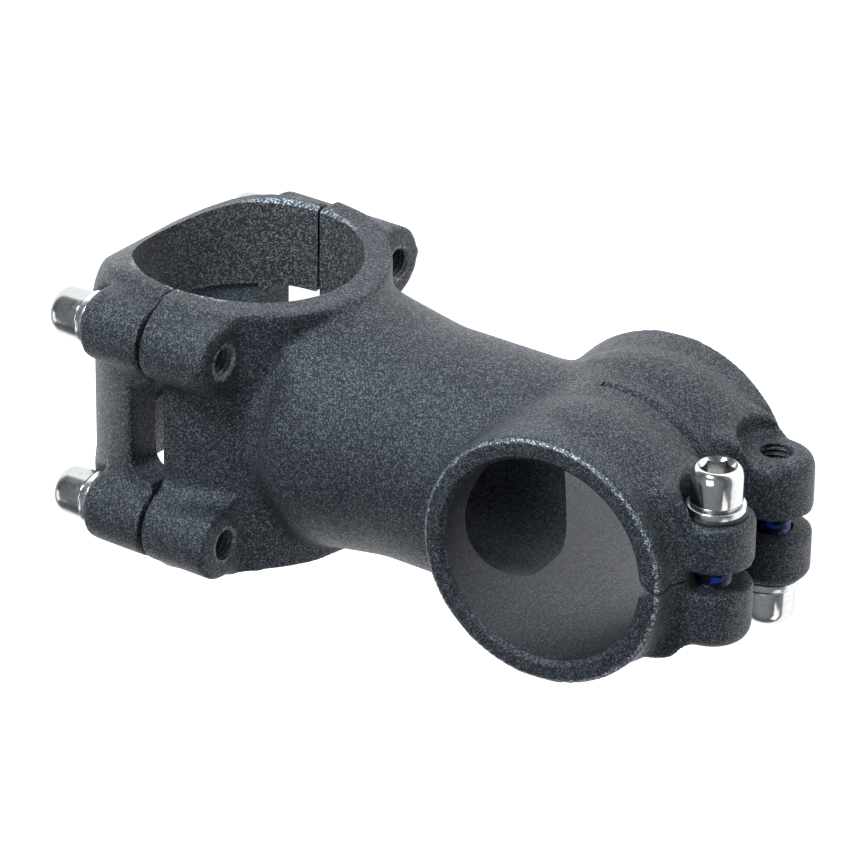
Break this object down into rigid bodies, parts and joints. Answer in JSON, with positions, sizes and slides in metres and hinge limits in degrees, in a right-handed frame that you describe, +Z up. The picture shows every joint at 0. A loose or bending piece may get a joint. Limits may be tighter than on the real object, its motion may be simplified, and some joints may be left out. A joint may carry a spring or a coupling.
{
  "type": "handlebar stem",
  "caption": "Threadless bicycle handlebar stem: hollow forged body with a split steerer clamp, pinch bolts and a bolted faceplate that grips the handlebar.",
  "frame": {"origin": "middle of the steerer clamp's bore, on its axis", "axes": "+Z up the steerer, +X forward towards the handlebar, +Y along the handlebar to the rider's left"},
  "size_m": [0.1076, 0.041, 0.0514],
  "materials": {
    "body": "matte sand-blasted black anodised aluminium, fine sparkling grain, lips worn brighter",
    "bolt": "polished chrome-plated steel",
    "washer": "bright turned steel",
    "nylon": "black nylon"
  },
  "bodies": {
    "stem": {"stem_body": "body"},
    "faceplate": {"faceplate": "body"},
    "face_washers_top_left": {"face_washer_top_left": "washer", "face_ring_top_left": "nylon"},
    "face_bolt_top_left": {"face_bolt_top_left": "bolt"},
    "face_washers_top_right": {"face_washer_top_right": "washer", "face_ring_top_right": "nylon"},
    "face_bolt_top_right": {"face_bolt_top_right": "bolt"},
    "face_washers_low_left": {"face_washer_low_left": "washer", "face_ring_low_left": "nylon"},
    "face_bolt_low_left": {"face_bolt_low_left": "bolt"},
    "face_washers_low_right": {"face_washer_low_right": "washer", "face_ring_low_right": "nylon"},
    "face_bolt_low_right": {"face_bolt_low_right": "bolt"},
    "pinch_washers_upper": {"pinch_washer_upper": "washer", "pinch_ring_upper": "nylon"},
    "pinch_bolt_upper": {"pinch_bolt_upper": "bolt"},
    "pinch_washers_lower": {"pinch_washer_lower": "washer", "pinch_ring_lower": "nylon"},
    "pinch_bolt_lower": {"pinch_bolt_lower": "bolt"}
  },
  "joints": [
    {"name": "faceplate_slide", "type": "slide", "parent": "stem", "child": "faceplate", "axis": [0.9945, 0, -0.1045], "range_m": [0, 0.04]},
    {"name": "face_top_left_draw", "type": "slide", "parent": "faceplate", "child": "face_washers_top_left", "axis": [0.9945, 0, -0.1045], "range_m": [0, 0.0064]},
    {"name": "face_top_left_turn", "type": "hinge", "parent": "face_washers_top_left", "child": "face_bolt_top_left", "pos_m": [0.07166, 0.01375, 0.01213], "axis": [0.9945, 0, -0.1045], "range_deg": [0, 2881]},
    {"name": "face_top_right_draw", "type": "slide", "parent": "faceplate", "child": "face_washers_top_right", "axis": [0.9945, 0, -0.1045], "range_m": [0, 0.0064]},
    {"name": "face_top_right_turn", "type": "hinge", "parent": "face_washers_top_right", "child": "face_bolt_top_right", "pos_m": [0.07166, -0.01375, 0.01213], "axis": [0.9945, 0, -0.1045], "range_deg": [0, 2881]},
    {"name": "face_low_left_draw", "type": "slide", "parent": "faceplate", "child": "face_washers_low_left", "axis": [0.9945, 0, -0.1045], "range_m": [0, 0.0064]},
    {"name": "face_low_left_turn", "type": "hinge", "parent": "face_washers_low_left", "child": "face_bolt_low_left", "pos_m": [0.06757, 0.01375, -0.02676], "axis": [0.9945, 0, -0.1045], "range_deg": [0, 2881]},
    {"name": "face_low_right_draw", "type": "slide", "parent": "faceplate", "child": "face_washers_low_right", "axis": [0.9945, 0, -0.1045], "range_m": [0, 0.0064]},
    {"name": "face_low_right_turn", "type": "hinge", "parent": "face_washers_low_right", "child": "face_bolt_low_right", "pos_m": [0.06757, -0.01375, -0.02676], "axis": [0.9945, 0, -0.1045], "range_deg": [0, 2881]},
    {"name": "pinch_upper_draw", "type": "slide", "parent": "stem", "child": "pinch_washers_upper", "axis": [0, -1, 0], "range_m": [0, 0.0048]},
    {"name": "pinch_upper_turn", "type": "hinge", "parent": "pinch_washers_upper", "child": "pinch_bolt_upper", "pos_m": [-0.02, -0.0082, 0.0086], "axis": [0, -1, 0], "range_deg": [0, 2161]},
    {"name": "pinch_lower_draw", "type": "slide", "parent": "stem", "child": "pinch_washers_lower", "axis": [0, 1, 0], "range_m": [0, 0.0048]},
    {"name": "pinch_lower_turn", "type": "hinge", "parent": "pinch_washers_lower", "child": "pinch_bolt_lower", "pos_m": [-0.02, 0.0082, -0.0086], "axis": [0, 1, 0], "range_deg": [0, 2161]}
  ],
  "couplings": [
    {"joint": "face_top_left_turn", "follows": "face_top_left_draw", "rad_per_m": 7854},
    {"joint": "face_top_right_turn", "follows": "face_top_right_draw", "rad_per_m": 7854},
    {"joint": "face_low_left_turn", "follows": "face_low_left_draw", "rad_per_m": 7854},
    {"joint": "face_low_right_turn", "follows": "face_low_right_draw", "rad_per_m": 7854},
    {"joint": "pinch_upper_turn", "follows": "pinch_upper_draw", "rad_per_m": 7854},
    {"joint": "pinch_lower_turn", "follows": "pinch_lower_draw", "rad_per_m": 7854}
  ]
}
